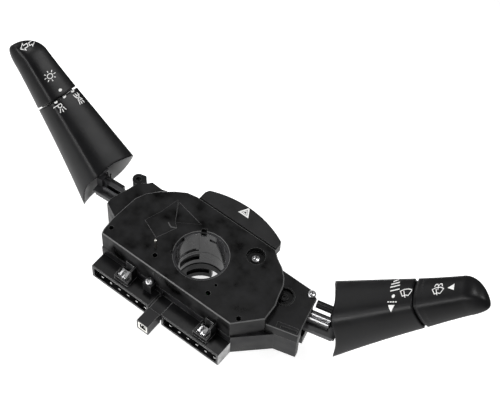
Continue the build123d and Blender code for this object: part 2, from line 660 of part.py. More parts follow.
def end_cap(bore_depth, neck_reach):
    """Hollow end cap with a hub that fits the spindle and ribs that carry the hub."""
    hub_start = joint_station + 5.0
    bore = spindle_radius + running
    outer = stalk_solid(cap_stations) + stalk_solid(tip_stations())
    inner_stations = [(joint_station - 3.0, -16.9, 17.0, 12.8, 6.6)] + cap_stations[1:]
    inner = stalk_solid(inner_stations, shell_wall)
    shell = outer - inner
    hub = spindle(hub_start, spindle_end + bore_depth + 2.0, bore + 1.6) & outer
    ribs = None
    for angle in (0, 90):
        plane = station_plane(hub_start)
        centre = plane.origin + face_way * spindle_offset
        at = Plane(origin=centre, x_dir=width_way, z_dir=axis_way)
        slab = at * Location((0, 0, 13), (0, 0, angle)) * Box(60, 1.4, 26)
        ribs = slab if ribs is None else ribs + slab
    shell += hub + (ribs & outer)
    if not neck_reach:
        # thinned mouth, which slides over the collar
        mouth = [(joint_station - 3.0, -16.9, 17.0, 12.8, 6.6), cap_stations[0],
                 (joint_station + 4.6, -16.1, 16.2, 12.1, 6.2)]
        shell -= stalk_solid(mouth, 0.9)
    else:
        # plate inside the joint, so that the open joint is closed but for its two ends
        plate = [(joint_station - neck_reach, *joint_section), (joint_station + 2.0, *joint_section)]
        shell += stalk_solid(plate, 4.8)
        shell += spindle(joint_station - neck_reach, hub_start + 1, bore + 1.6)
    shell -= spindle(joint_station - 5, spindle_end + bore_depth, bore)
    return shell


def push_collar():
    """Thin collar that closes the groove behind the washer cap and guides its mouth."""
    stations = [(joint_station - push_joint_gap, *joint_section),
                (joint_station + 2.2, -16.1, 16.2, 12.1, 6.2)]
    return stalk_solid(stations, 1.3) - stalk_solid(stations, 2.5) - spindle(0, 100, spindle_radius + 0.02)


def washer_spring():
    """Return spring of the washer cap, inside the hollow end of the spindle."""
    return spindle(spindle_end - 5.6, spindle_end + 3.1, 3.0) - spindle(0, 120, 2.2)


def moving_contact():
    """Brass bridge under the carrier, with three contact feet."""
    bridge = block(-7.0, 10.0, -7.0, 7.0, -35.2, -34.4) - rod(0, 0, 5.9, -40, 0)
    for y in (-6.0, 6.0):
        bridge += block(-5.5, -3.0, y - 0.9, y + 0.9, -35.6, -35.2)
    return bridge


def contact_board():
    board = block(-15.0, 11.0, -12.0, 7.6, floor_top, -36.4) - rod(0, 0, 7.4, -40, 0)
    return board


def cancel_pawl():
    """Pawl between the cancel ring and the turn-signal carrier."""
    x, y = pawl_place
    pawl = rod(x, y, 4.0, -31.6, -24.4)
    pawl += prism([(x - 1.0, y + 3.4), (x - 1.0, y - 3.4), (-20.6, y - 1.2), (-20.3, y), (-20.6, y + 1.2)],
                  -30.6, -25.4)
    return pawl - rod(x, y, 1.8 + running, -40, 0)


# ---------------------------------------------------------------- write the nodes
os.makedirs("parts", exist_ok=True)


def save(shape, name):
    export_step(shape, f"parts/{name}.step")


save(top_cover(), "top_cover")
save(base_housing(), "base_housing")
save(column_sleeve(), "column_sleeve")
save(cancel_ring(), "cancel_ring")
save(wiper_case_cover(), "wiper_case_cover")
save(turn_case_cover(), "turn_case_cover")
save(hazard_case(), "hazard_case")
save(hazard_button(), "hazard_button")
save(hazard_spring(), "hazard_spring")
save(hazard_contact(), "hazard_contacts")
save(connector_shroud(*left_connector, left_tower), "left_connector_shroud")
save(connector_shroud(*right_connector, right_tower), "right_connector_shroud")
save(terminals(left_connector[2]), "left_terminals")
save(terminals(right_connector[2]), "right_terminals")
save(latch_clips(left_tower), "left_latch_clip")
save(latch_clips(right_tower), "right_latch_clip")
save(horn_connector(), "horn_connector_shell")
save(horn_connector_insert(), "horn_connector_insert")
save(horn_terminals(), "horn_terminals")
save(main_board(), "main_circuit_board")
save(horn_brush(), "horn_brush")
save(horn_brush_holder(), "horn_brush_holder")
save(horn_brush_spring(), "horn_brush_spring")
save(cross_screw(*cover_screw_place, -2.2, 3.4, 1.55, 14.0, False), "cover_screw")
save(cross_screw(*corner_screw_place, module_top + 2.4, 3.0, 1.25, 6.0, False), "case_screw")
save(cross_screw(-19.9, -33.2, -11.8, 3.0, 1.55, 7.0, True), "ground_screw")

wiper_notches = [-18, -12, -6, 0, 6]
turn_notches = [-10, 0, 10]
twist_front, twist_back = skirt_halves(twist_joint_gap)
push_front, push_back = skirt_halves(push_joint_gap)
side_pieces = {
    "carrier": carrier(),
    "detent_plunger": detent_plunger(),
    "detent_spring": plunger_spring(),
    "lever_pin": lever_pin(),
    "moving_contact": moving_contact(),
}
for name, shape in side_pieces.items():
    save(on_right(shape), f"wiper_{name}")
    save(on_left(shape, left_lever_turn), f"turn_{name}")
save(on_right(detent_track(wiper_notches)), "wiper_detent_track")
save(on_left(detent_track(turn_notches), left_lever_turn), "turn_detent_track")
save(on_right(contact_board()), "wiper_contact_board")
save(on_left(contact_board()), "turn_contact_board")
save(cancel_pawl(), "turn_cancel_pawl")

bare_bracket = lever_bracket()
round_spindle = spindle(7.0, 110, spindle_radius)
wiper_arm = lever_arm(-10.5)
turn_arm = lever_arm(-8.6)


def lever_side(shape):
    return mirror(shape.rotate(pivot_axis, left_lever_turn), about=Plane.YZ)


save(wiper_arm, "wiper_lever_arm")
save(bare_bracket - round_spindle, "wiper_lever_bracket")
save(wiper_wire_cover() - round_spindle, "wiper_wire_cover")
save(push_front, "wiper_skirt_front")
save(push_back, "wiper_skirt_back")
save(push_collar(), "wiper_push_collar")
save(end_cap(3.2, 0), "washer_push_cap")
save(washer_spring(), "washer_spring")
save(lever_side(turn_arm), "turn_lever_arm")
save(lever_side(bare_bracket - round_spindle), "turn_lever_bracket")
save(lever_side(turn_wire_cover() - round_spindle), "turn_wire_cover")
save(lever_side(twist_front), "turn_skirt_front")
save(lever_side(twist_back), "turn_skirt_back")
save(lever_side(end_cap(0.6, 0.6)), "light_twist_cap")
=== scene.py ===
from math import cos, pi, radians, sin

import bmesh
import bpy
from mathutils import Matrix, Vector


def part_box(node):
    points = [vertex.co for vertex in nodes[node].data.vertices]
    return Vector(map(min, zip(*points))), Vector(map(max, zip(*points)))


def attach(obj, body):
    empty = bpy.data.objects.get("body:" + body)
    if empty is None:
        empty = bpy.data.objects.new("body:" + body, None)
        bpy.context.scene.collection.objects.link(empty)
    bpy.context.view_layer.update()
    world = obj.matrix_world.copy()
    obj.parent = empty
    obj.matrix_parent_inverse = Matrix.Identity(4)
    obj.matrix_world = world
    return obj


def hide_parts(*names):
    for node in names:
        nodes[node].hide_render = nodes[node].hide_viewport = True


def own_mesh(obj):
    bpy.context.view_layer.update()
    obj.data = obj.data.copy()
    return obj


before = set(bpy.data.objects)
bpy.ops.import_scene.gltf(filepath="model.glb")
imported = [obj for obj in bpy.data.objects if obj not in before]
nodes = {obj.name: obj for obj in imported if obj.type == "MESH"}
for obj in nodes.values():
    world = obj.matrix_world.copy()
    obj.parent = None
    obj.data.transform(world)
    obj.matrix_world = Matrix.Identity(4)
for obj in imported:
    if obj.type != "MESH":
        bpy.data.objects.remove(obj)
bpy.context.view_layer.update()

scene = bpy.context.scene


# ------------------------------------------------------------------ camera
# The view is a three-quarter one from the driver's side: over the near right corner of the
# switch, well above the cover, with a long lens and the camera rolled a few degrees.
look_azimuth, look_elevation, camera_roll = radians(34.471), radians(56.696), radians(4.0)
look_distance = 1.01105
look_target = Vector((0.000634, 0.055243, 0.0))
focal_length, film_width = 100.8, 36.0

toward = Vector((-sin(look_azimuth) * cos(look_elevation), cos(look_azimuth) * cos(look_elevation),
                 -sin(look_elevation)))
level_right = Vector((cos(look_azimuth), sin(look_azimuth), 0.0))
camera_right = cos(camera_roll) * level_right + sin(camera_roll) * level_right.cross(toward)
camera_up = camera_right.cross(toward)
camera_data = bpy.data.cameras.new("camera")
camera_data.lens, camera_data.sensor_width = focal_length, film_width
camera_data.clip_start, camera_data.clip_end = 0.05, 20.0
camera = bpy.data.objects.new("camera", camera_data)
camera.matrix_world = Matrix.Translation(look_target - toward * look_distance) @ Matrix(
    (camera_right, camera_up, -toward)).transposed().to_4x4()
scene.collection.objects.link(camera)
scene.camera = camera


# ------------------------------------------------------------------ table and lamps
# The switch lies on its foot on a matt table top with a painted pool of light: it is painted white and
# glowing round the switch and grey further out. A wide soft box stands in front of it and two smaller
# ones at its left, one hangs high at the back right and a small one overhead. The room is bright low
# down and dim overhead.
class Socket:
    """A node's output. Arithmetic on it adds Math nodes to its tree."""

    def __init__(self, tree, socket):
        self.tree, self.socket = tree, socket

    def maths(self, operation, first, second):
        return add_node(self.tree, "ShaderNodeMath", {"operation": operation}, {0: first, 1: second})

    def __add__(self, other):
        return self.maths("ADD", self, other)

    def __sub__(self, other):
        return self.maths("SUBTRACT", self, other)

    def __mul__(self, other):
        return self.maths("MULTIPLY", self, other)

    def __truediv__(self, other):
        return self.maths("DIVIDE", self, other)

    def __rsub__(self, other):
        return self.maths("SUBTRACT", other, self)

    def __gt__(self, other):
        return self.maths("GREATER_THAN", self, other)

    __radd__, __rmul__ = __add__, __mul__


def add_node(tree, kind, settings, values, output=0):
    """Adds one node: its settings first, then the values or links of its sockets.

    A list holds several links to one socket. A ramp's stops are pairs of a place and a grey.
    """
    node = tree.nodes.new(kind)
    for name, setting in settings.items():
        if name == "stops":
            stops = node.color_ramp.elements
            while len(stops) < len(setting):
                stops.new(0.5)
            for stop, (place, shade) in zip(stops, setting):
                stop.position, stop.color = place, grey(shade)
        else:
            setattr(node, name, setting)
    for name, value in values.items():
        for item in value if isinstance(value, list) else [value]:
            if isinstance(item, Socket):
                tree.links.new(item.socket, node.inputs[name])
            else:
                node.inputs[name].default_value = item
    return Socket(tree, node.outputs[output]) if node.outputs else None


def grey(shade):
    return (shade, shade, shade, 1.0)


def blend(tree, share, first, second):
    """The colour that lies a share of the way from the first to the second."""
    return add_node(tree, "ShaderNodeMix", {"data_type": "RGBA"}, {0: share, 6: first, 7: second}, 2)


def clamp(tree, value):
    """The value, kept between nought and one."""
    return add_node(tree, "ShaderNodeClamp", {}, {"Value": value})


def object_place(tree):
    """The point of the surface, in the piece's own coordinates."""
    return add_node(tree, "ShaderNodeTexCoord", {}, {}, "Object")


def along_axis(tree, place, axis):
    """One coordinate of a point or direction."""
    return add_node(tree, "ShaderNodeSeparateXYZ", {}, {0: place}, axis)


def new_material(name):
    """A material whose Principled shader is fed by finish_material."""
    material = bpy.data.materials.new(name)
    material.use_nodes = True
    material.node_tree.nodes.clear()
    return material, material.node_tree


def finish_material(tree, values):
    """Ends a material: one Principled shader with these values."""
    shader = add_node(tree, "ShaderNodeBsdfPrincipled", {}, values)
    add_node(tree, "ShaderNodeOutputMaterial", {}, {"Surface": shader})


def add_object(name, mesh):
    """Links a finished mesh as an object at the origin."""
    made = bpy.data.objects.new(name, mesh)
    scene.collection.objects.link(made)
    return made


table_level = -0.0601
table_reach = 3.0
pool_middle, pool_edge, pool_end = (0.0, 0.05, table_level), 0.26, 0.44
pool_white, outer_grey, pool_glow = 0.80, 0.40, 0.74
table_mesh = bpy.data.meshes.new("table")
table_mesh.from_pydata([(-table_reach, -table_reach, table_level), (table_reach, -table_reach, table_level),
                        (table_reach, table_reach, table_level), (-table_reach, table_reach, table_level)],
                       [], [(0, 1, 2, 3)])
table = add_object("table", table_mesh)
table_paint, tree = new_material("table_paint")
# painted pool of light: the top is painted white and made to glow round the switch, and it fades to grey
# beyond
away = add_node(tree, "ShaderNodeVectorMath", {"operation": "DISTANCE"},
                {0: object_place(tree), 1: pool_middle}, "Value")
painted_light_pool = clamp(tree, (pool_end - away) / (pool_end - pool_edge))
painted_pool_colour = blend(tree, painted_light_pool, grey(outer_grey), grey(pool_white))
painted_table_glow = blend(tree, painted_light_pool, grey(0.0), grey(1.0))
finish_material(tree, {"Base Color": painted_pool_colour, "Roughness": 0.9, "Specular IOR Level": 0.1,
                       "Emission Color": painted_table_glow, "Emission Strength": pool_glow})
table_mesh.materials.append(table_paint)

scene.view_settings.view_transform = "Standard"
room = bpy.data.worlds.new("room")
room.use_nodes = True
room_tree = room.node_tree
room_tree.nodes.clear()
room_strength, middle_share, overhead_share = 0.27, 0.9, 0.50
upward = along_axis(room_tree, add_node(room_tree, "ShaderNodeTexCoord", {}, {}, "Generated"), "Z")
glow = add_node(room_tree, "ShaderNodeValToRGB",
                {"stops": [(0.0, 1.0), (0.20, 1.0), (0.5, middle_share), (1.0, overhead_share)]},
                {"Fac": upward}, "Color")
wall = add_node(room_tree, "ShaderNodeBackground", {}, {"Color": grey(1.0), "Strength": glow * room_strength})
add_node(room_tree, "ShaderNodeOutputWorld", {}, {"Surface": wall})
scene.world = room

# every soft box faces the middle of the switch
for name, place, width, height, power in (
        ("front_box", (-0.38, -1.08, 0.42), 1.15, 0.26, 10.5),
        ("left_box", (-0.88, -0.62, 0.58), 0.3, 0.3, 1.8),
        ("side_box", (-1.08, 0.12, 0.44), 0.6, 0.4, 1.3),
        ("right_box", (0.62, 0.48, 1.15), 0.6, 0.5, 7.0),
        ("high_box", (-0.22, 0.30, 1.34), 0.22, 0.22, 5.5)):
    lamp_data = bpy.data.lights.new(name, "AREA")
    lamp_data.shape, lamp_data.size, lamp_data.size_y = "RECTANGLE", width, height
    lamp_data.energy = power
    lamp = bpy.data.objects.new(name, lamp_data)
    lamp.location = place
    lamp.rotation_mode = "QUATERNION"
    lamp.rotation_quaternion = (-Vector(place)).to_track_quat("-Z", "Y")
    scene.collection.objects.link(lamp)


# ------------------------------------------------------------------ base moulding
# The lower tray carries everything: the column tube, the posts of the lever modules and the
# connector wall. It is injection moulded in black glass-filled polyester with a fine eroded
# grain, and the small shrouds, ducts and holders are of the same stuff.
patch_scale, patch_floor, patch_gain = 70.0, 0.35, 3.3
rim_least, rim_most = 0.3, 0.97
edge_gain, wear_and_highlight_paleness, rub_gloss = 6.0, 0.6, 0.12
grain_strength, inside_painted_light, inside_least = 0.35, 0.5, 0.1


def noise(tree, place, scale, detail):
    """Cloudy noise round a half."""
    return add_node(tree, "ShaderNodeTexNoise", {}, {"Vector": place, "Scale": scale, "Detail": detail})


def dot_product(tree, first, second):
    """How far two directions agree."""
    return add_node(tree, "ShaderNodeVectorMath", {"operation": "DOT_PRODUCT"},
                    {0: first, 1: second}, "Value")


def moulded_plastic(name, colour, roughness, grain_size, grain_depth, edge_radius, shine=0.4, wear_and_highlight=0.03,
                    clouding=0.2, slopes=0.0, hollow_way=None, beyond=None):
    """Grained moulding: clouded colour, and softly rounded edges painted pale and smooth, as wear and as a
    painted highlight.

    slopes says how far a sloping rim is painted pale too, as a painted highlight. hollow_way is the way that
    the inside of a half shell faces; that inside is painted pale grey as painted light. beyond is an axis, a
    place on it and the two greys painted past it as light or shade.
    """
    material, tree = new_material(name)
    place = object_place(tree)
    cloud = noise(tree, place, patch_scale, 4.0)
    grain = noise(tree, place, 1.0 / grain_size, 2.0)
    rounded = add_node(tree, "ShaderNodeBevel", {"samples": 6}, {"Radius": edge_radius})
    facing = add_node(tree, "ShaderNodeNewGeometry", {}, {}, "Normal")
    slope = along_axis(tree, add_node(tree, "ShaderNodeNewGeometry", {}, {}, "True Normal"), "Z")
    # edges, found through the rounded normal, and sloping rims are painted paler: edge wear and a painted
    # highlight
    rim = (slope > rim_least) - (slope > rim_most)
    edge_wear_and_highlight = clamp(tree, (1.0 - dot_product(tree, rounded, facing)) * edge_gain + rim * slopes)
    patches = clamp(tree, (cloud - patch_floor) * patch_gain)
    dark = [channel * max(0.0, 1 - clouding) for channel in colour]
    light = [channel * (1 + clouding) for channel in colour]
    worn_and_highlit = [min(1.0, channel + wear_and_highlight) for channel in colour]
    ground = blend(tree, patches, (*dark, 1.0), (*light, 1.0))
    base = blend(tree, edge_wear_and_highlight * wear_and_highlight_paleness, ground, (*worn_and_highlit, 1.0))
    # the inside of a half shell is painted pale grey as painted light
    if hollow_way:
        inward = dot_product(tree, facing, tuple(hollow_way)) > inside_least
        base = blend(tree, inward, base, grey(inside_painted_light))
    # past a place on an axis the colour is painted over with two greys, as painted light or painted shade
    if beyond:
        axis, limit, low, high = beyond
        past = along_axis(tree, place, axis) > limit
        base = blend(tree, past, base, blend(tree, patches, grey(low), grey(high)))
    relief = add_node(tree, "ShaderNodeBump", {}, {"Strength": grain_strength, "Distance": grain_depth,
                                                   "Height": grain, "Normal": rounded})
    finish_material(tree, {"Base Color": base, "Normal": relief, "Specular IOR Level": shine,
                           "Roughness": roughness + (cloud - 0.5) * min(clouding, 1.0) - edge_wear_and_highlight * rub_gloss})
    return material


def dress(material, *names):
    """Gives CAD nodes a finish."""
    for name in names:
        mesh = nodes[name].data
        mesh.materials.clear()
        mesh.materials.append(material)


base_black = moulded_plastic("base_black", (0.006, 0.006, 0.0065), roughness=0.42, grain_size=0.0004,
                             grain_depth=0.00003, edge_radius=0.0004, shine=0.16, wear_and_highlight=0.16, clouding=1.6)
dress(base_black, "base_housing", "hazard_case", "wiper_wire_cover", "turn_wire_cover", "horn_brush_holder")
# the edges of the sockets are painted pale, as wear and as a painted highlight, and the end face of the right
# one is painted a pale grey as painted light
socket_end = 0.0507
for name, end, shells in (("socket_black", None, ("left_connector_shroud", "horn_connector_shell")),
                          ("end_black", ("X", socket_end, 0.06, 0.60), ("right_connector_shroud",))):
    worn_and_highlit_black = moulded_plastic(name, (0.007, 0.007, 0.0075), roughness=0.40, grain_size=0.0004,
                                   grain_depth=0.00003, edge_radius=0.0005, shine=0.22, wear_and_highlight=0.50,
                                   clouding=0.5, beyond=end)
    dress(worn_and_highlit_black, *shells)


# ------------------------------------------------------------------ column sleeve and cancel ring
# The bore is lined with a smooth glossy sleeve that leads the steering shaft through. Below it
# turns the ring whose gaps work the off-white acetal pawl that cancels the indicators. The
# detent plungers and their tracks are acetal too.
sleeve_grey = moulded_plastic("sleeve_grey", (0.030, 0.030, 0.032), roughness=0.16, grain_size=0.0012,
                              grain_depth=0.00001, edge_radius=0.0003)
dress(sleeve_grey, "column_sleeve", "cancel_ring")
acetal_white = moulded_plastic("acetal_white", (0.62, 0.62, 0.58), roughness=0.38, grain_size=0.0008,
                               grain_depth=0.00001, edge_radius=0.0003)
dress(acetal_white, "turn_cancel_pawl", "wiper_detent_track", "turn_detent_track",
      "wiper_detent_plunger", "turn_detent_plunger")


# ------------------------------------------------------------------ cover and module covers
# One large cover closes the middle of the switch and two small ones close the lever modules.
# They are moulded in the same black plastic as the base, in a finer and drier texture, and their
# sloping rims are painted pale as a painted highlight.
cover_black = moulded_plastic("cover_black", (0.0055, 0.0055, 0.0057), roughness=0.42, grain_size=0.0003,
                              grain_depth=0.00003, edge_radius=0.0004, shine=0.09, wear_and_highlight=0.19, clouding=2.0,
                              slopes=1.0)
dress(cover_black, "top_cover", "wiper_case_cover", "turn_case_cover")


# ------------------------------------------------------------------ metal parts
# Brackets, pins and clips are zinc-plated steel, the left bracket painted darker as painted shade. The
# carriers are die-cast zinc, the contacts brass and the connector blades tinned.
dull_scale, dull_share, dull_roughness = 260.0, 0.72, 0.2
scratch_stretch, scratch_strength, metal_edge = 6.0, 0.4, 0.0002


def worked_metal(name, colour, roughness, scratch_size, scratch_depth):
    """Plated or cast metal with drawn scratches and dull patches."""
    material, tree = new_material(name)
    place = object_place(tree)
    drawn = add_node(tree, "ShaderNodeMapping", {}, {"Vector": place, "Scale": (1.0, scratch_stretch, 1.0)})
    scratches = noise(tree, drawn, 1.0 / scratch_size, 4.0)
    patches = noise(tree, place, dull_scale, 2.0)
    rounded = add_node(tree, "ShaderNodeBevel", {"samples": 4}, {"Radius": metal_edge})
    dull = [channel * dull_share for channel in colour]
    relief = add_node(tree, "ShaderNodeBump", {}, {"Strength": scratch_strength, "Distance": scratch_depth,
                                                   "Height": scratches, "Normal": rounded})
    finish_material(tree, {"Base Color": blend(tree, patches, (*dull, 1.0), (*colour, 1.0)),
                           "Metallic": 1.0, "Normal": relief,
                           "Roughness": roughness + (patches - 0.5) * dull_roughness})
    return material


zinc_plate = worked_metal("zinc_plate", (0.74, 0.74, 0.75), roughness=0.36, scratch_size=0.0008,
                          scratch_depth=0.00001)
dress(zinc_plate, "wiper_lever_bracket", "wiper_lever_pin", "turn_lever_pin", "left_latch_clip",
      "right_latch_clip")
# the left bracket has the same plating as the others, painted darker as painted shade
painted_shade_zinc = worked_metal("painted_shade_zinc", (0.10, 0.10, 0.105), roughness=0.42, scratch_size=0.0008,
                         scratch_depth=0.00001)
dress(painted_shade_zinc, "turn_lever_bracket")
zinc_casting = worked_metal("zinc_casting", (0.50, 0.50, 0.51), roughness=0.48, scratch_size=0.0004,
                            scratch_depth=0.00002)
dress(zinc_casting, "wiper_carrier", "turn_carrier")
contact_brass = worked_metal("contact_brass", (0.75, 0.55, 0.24), roughness=0.25, scratch_size=0.0006,
                             scratch_depth=0.000005)
dress(contact_brass, "wiper_moving_contact", "turn_moving_contact", "hazard_contacts")
tin_plate = worked_metal("tin_plate", (0.82, 0.82, 0.82), roughness=0.22, scratch_size=0.0006,
                         scratch_depth=0.000005)
dress(tin_plate, "left_terminals", "right_terminals", "horn_terminals")


# ------------------------------------------------------------------ screws
# Three small screws: one holds the cover to its post, one the wiper module's cover and one the
# ground lead. They are cold-headed from zinc-plated steel with a rolled thread.
def new_maker(name, inputs):
    """A Geometry Nodes tree with named inputs, and a socket for each of them."""
    tree = bpy.data.node_groups.new(name, "GeometryNodeTree")
    for label, kind in inputs:
        tree.interface.new_socket(label, in_out="INPUT", socket_type="NodeSocket" + kind)
    tree.interface.new_socket("Shape", in_out="OUTPUT", socket_type="NodeSocketGeometry")
    entry = tree.nodes.new("NodeGroupInput")
    return tree, {label: Socket(tree, entry.outputs[label]) for label, kind in inputs}


def finish_maker(tree, shape, paint):
    """Ends a tree: what it made is made real and painted."""
    smooth = add_node(tree, "GeometryNodeSetShadeSmooth", {}, {0: shape})
    real = add_node(tree, "GeometryNodeRealizeInstances", {}, {0: smooth})
    painted = add_node(tree, "GeometryNodeSetMaterial", {}, {0: real, "Material": paint})
    add_node(tree, "NodeGroupOutput", {}, {"Shape": painted})


def run_maker(name, tree, values, start=None):
    """Runs a tree on an object and keeps the result as a plain mesh."""
    made = add_object(name, start or bpy.data.meshes.new(name))
    modifier = made.modifiers.new("maker", "NODES")
    modifier.node_group = tree
    for item in tree.interface.items_tree:
        if item.in_out == "INPUT" and item.name in values:
            modifier[item.identifier] = values[item.name]
    result = bpy.data.meshes.new_from_object(made.evaluated_get(bpy.context.evaluated_depsgraph_get()))
    made.modifiers.clear()
    made.data = result
    return made


def vector(tree, x=0.0, y=0.0, z=0.0):
    """Three numbers, each fixed or worked out in the tree, as a point."""
    return add_node(tree, "ShaderNodeCombineXYZ", {}, {0: x, 1: y, 2: z})


def moved(tree, shape, place):
    """A shape, shifted by a point."""
    return add_node(tree, "GeometryNodeTransform", {}, {0: shape, "Translation": place})


screw_tree, size = new_maker("pan_screw", [
    ("Head radius", "Float"), ("Head height", "Float"), ("Core radius", "Float"), ("Length", "Float"),
    ("Turns", "Float"), ("Slotted", "Bool"), ("Steel", "Material")])
head_radius, head_height = size["Head radius"], size["Head height"]
core_radius, shank = size["Core radius"], size["Length"]

# the head is a sheet wrapped round the axis: dome, side wall, underside
dome_end, wall_end, dome_drop = 0.6, 0.8, 0.45
sheet = add_node(screw_tree, "GeometryNodeMeshGrid", {}, {"Size X": 1.0, "Size Y": 1.0, "Vertices X": 21,
                                                          "Vertices Y": 49})
sheet_place = add_node(screw_tree, "GeometryNodeInputPosition", {}, {})
sheet_x = along_axis(screw_tree, sheet_place, "X") + 0.5
turn = (along_axis(screw_tree, sheet_place, "Y") + 0.5) * (2 * pi)
outward = clamp(screw_tree, sheet_x / dome_end)
down = clamp(screw_tree, (sheet_x - dome_end) / (wall_end - dome_end))
inward = clamp(screw_tree, (sheet_x - wall_end) / (1 - wall_end))
radius = head_radius * outward * (1 - inward)
level = head_height * (1 - outward * outward * outward * dome_drop - down * (1 - dome_drop))
head_place = vector(screw_tree, radius * turn.maths("COSINE", turn, 0.0),
                    radius * turn.maths("SINE", turn, 0.0), level)
head = add_node(screw_tree, "GeometryNodeSetPosition", {}, {0: sheet, "Position": head_place})
head = add_node(screw_tree, "GeometryNodeMergeByDistance", {}, {0: head, "Distance": 0.000002})
head = add_node(screw_tree, "GeometryNodeFlipFaces", {}, {0: head})

# the recess is a cross of two short bars, or one bar right across
bar_width, bar_height, bar_level = 0.30, 1.1, 1.05
cross_reach, slot_reach = 1.25, 2.6
bars = []
for long_way in (0, 1):
    reach = add_node(screw_tree, "ShaderNodeMix", {"data_type": "FLOAT"},
                     {0: size["Slotted"], 2: head_radius * cross_reach, 3: head_radius * slot_reach})
    bar_size = add_node(screw_tree, "ShaderNodeCombineXYZ", {},
                        {long_way: reach, 1 - long_way: head_radius * bar_width, 2: head_height * bar_height})
    bar = add_node(screw_tree, "GeometryNodeMeshCube", {}, {"Size": bar_size})
    bars.append(moved(screw_tree, bar, vector(screw_tree, z=head_height * bar_level)))
cross = add_node(screw_tree, "GeometryNodeMeshBoolean", {"operation": "UNION"}, {1: bars})
cutter = add_node(screw_tree, "GeometryNodeSwitch", {"input_type": "GEOMETRY"},
                  {"Switch": size["Slotted"], "False": cross, "True": bars[1]})
head = add_node(screw_tree, "GeometryNodeMeshBoolean", {"operation": "DIFFERENCE"}, {0: head, 1: cutter})

# the thread is a three-cornered ridge wound round the core
thread_share, thread_foot, ridge_share = 0.96, 0.98, 0.18
core = add_node(screw_tree, "GeometryNodeMeshCylinder", {}, {"Vertices": 24, "Radius": core_radius,
                                                             "Depth": shank})
core = moved(screw_tree, core, vector(screw_tree, z=shank * -0.5))
helix = add_node(screw_tree, "GeometryNodeCurveSpiral", {},
                 {"Resolution": 24, "Rotations": size["Turns"], "Start Radius": core_radius,
                  "End Radius": core_radius, "Height": shank * thread_share})
helix = moved(screw_tree, helix, vector(screw_tree, z=shank * -thread_foot))
ridge = add_node(screw_tree, "GeometryNodeCurvePrimitiveCircle", {"mode": "RADIUS"},
                 {"Resolution": 3, "Radius": core_radius * ridge_share})
thread = add_node(screw_tree, "GeometryNodeCurveToMesh", {}, {0: helix, 1: ridge, "Fill Caps": True})
joined = add_node(screw_tree, "GeometryNodeJoinGeometry", {}, {0: [head, core, thread]})
finish_maker(screw_tree, joined, size["Steel"])

screw_zinc = worked_metal("screw_zinc", (0.62, 0.62, 0.63), roughness=0.30, scratch_size=0.0005,
                          scratch_depth=0.000006)
thread_pitch = 0.0007
for name, node, head_size, thickness, core_size, slotted, turned in (
        ("cover_post_screw", "cover_screw", 0.0034, 0.0024, 0.00125, False, 0.35),
        ("case_cover_screw", "case_screw", 0.0030, 0.0024, 0.00100, False, 0.35),
        ("ground_lead_screw", "ground_screw", 0.0030, 0.0024, 0.00125, True, 0.6)):
    low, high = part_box(node)
    length = high[2] - low[2] - thickness
    screw = run_maker(name, screw_tree, {"Head radius": head_size, "Head height": thickness,
                                         "Core radius": core_size, "Length": length,
                                         "Turns": length / thread_pitch, "Slotted": slotted,
                                         "Steel": screw_zinc})
    under_head = ((low[0] + high[0]) / 2, (low[1] + high[1]) / 2, high[2] - thickness)
    screw.data.transform(Matrix.Translation(under_head) @ Matrix.Rotation(turned, 4, "Z"))
    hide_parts(node)
    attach(screw, "switch_body")


# ------------------------------------------------------------------ coil springs
# Five small compression springs of drawn steel wire, with closed ends: under the hazard key,
# behind each detent plunger, inside the washer cap and under the horn contact pin.
spring_wire = worked_metal("spring_wire", (0.50, 0.50, 0.52), roughness=0.30, scratch_size=0.0005,
                           scratch_depth=0.000005)

flat_share, lap_rise = 0.14, 1.9
coil_tree, size = new_maker("coil_spring", [
    ("Coil radius", "Float"), ("Wire radius", "Float"), ("Height", "Float"), ("Turns", "Float"),
    ("Wire", "Material")])
circle = add_node(coil_tree, "GeometryNodeCurveSpiral", {},
                  {"Resolution": 26, "Rotations": size["Turns"], "Start Radius": size["Coil radius"],
                   "End Radius": size["Coil radius"], "Height": 0.0})
share = add_node(coil_tree, "GeometryNodeSplineParameter", {}, {}, "Factor")
# the end turns lie nearly flat: each climbs just under the thickness of the wire
climb = clamp(coil_tree, (share - flat_share) / (1 - 2 * flat_share))
end_lap = clamp(coil_tree, share / flat_share) + clamp(coil_tree, (share - (1 - flat_share)) / flat_share)
lift = (size["Wire radius"] * (1 + end_lap * lap_rise)
        + (size["Height"] - size["Wire radius"] * (2 + 2 * lap_rise)) * climb)
coil = add_node(coil_tree, "GeometryNodeSetPosition", {}, {0: circle, "Offset": vector(coil_tree, z=lift)})
section = add_node(coil_tree, "GeometryNodeCurvePrimitiveCircle", {"mode": "RADIUS"},
                   {"Resolution": 10, "Radius": size["Wire radius"]})
wound = add_node(coil_tree, "GeometryNodeCurveToMesh", {}, {0: coil, 1: section, "Fill Caps": True})
finish_maker(coil_tree, wound, size["Wire"])

module_turn, left_lever_turn = 13.2, 17.0
module_heading = radians(module_turn)
left_heading = radians(180.0 - module_turn + left_lever_turn)
stalk_heading, stalk_rise, stalk_roll = radians(26.9), radians(37.8), radians(34.7)
stalk_along = Vector((cos(stalk_heading) * cos(stalk_rise), sin(stalk_heading) * cos(stalk_rise),
                      sin(stalk_rise)))
